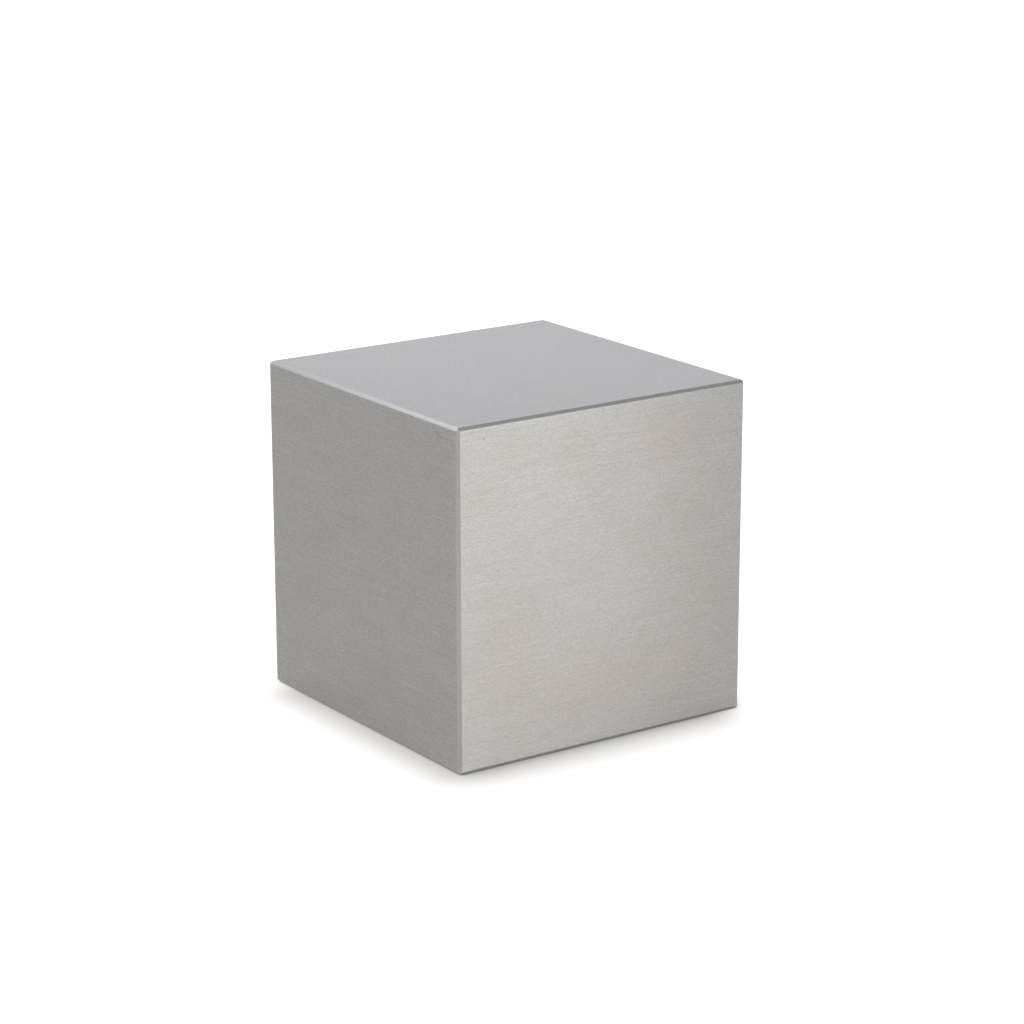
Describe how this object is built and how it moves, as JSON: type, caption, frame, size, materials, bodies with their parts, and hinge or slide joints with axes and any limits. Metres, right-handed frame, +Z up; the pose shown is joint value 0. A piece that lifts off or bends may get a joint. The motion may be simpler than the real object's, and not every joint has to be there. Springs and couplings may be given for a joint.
{
  "type": "tungsten cube",
  "caption": "Solid tungsten alloy cube with six finely ground flat faces, a narrow 45 degree chamfer on every edge and mitred corners.",
  "frame": {"origin": "centre of the bottom face, on the surface that the cube stands on", "axes": "+Z up out of the top face, +X and +Y square to the side faces; -Y is the front face"},
  "size_m": [0.0382, 0.0382, 0.0381],
  "materials": {
    "ground_tungsten": "fine ground, satin, bare metal"
  },
  "bodies": {
    "root": {"tungsten_cube": "ground_tungsten"}
  },
  "joints": []
}
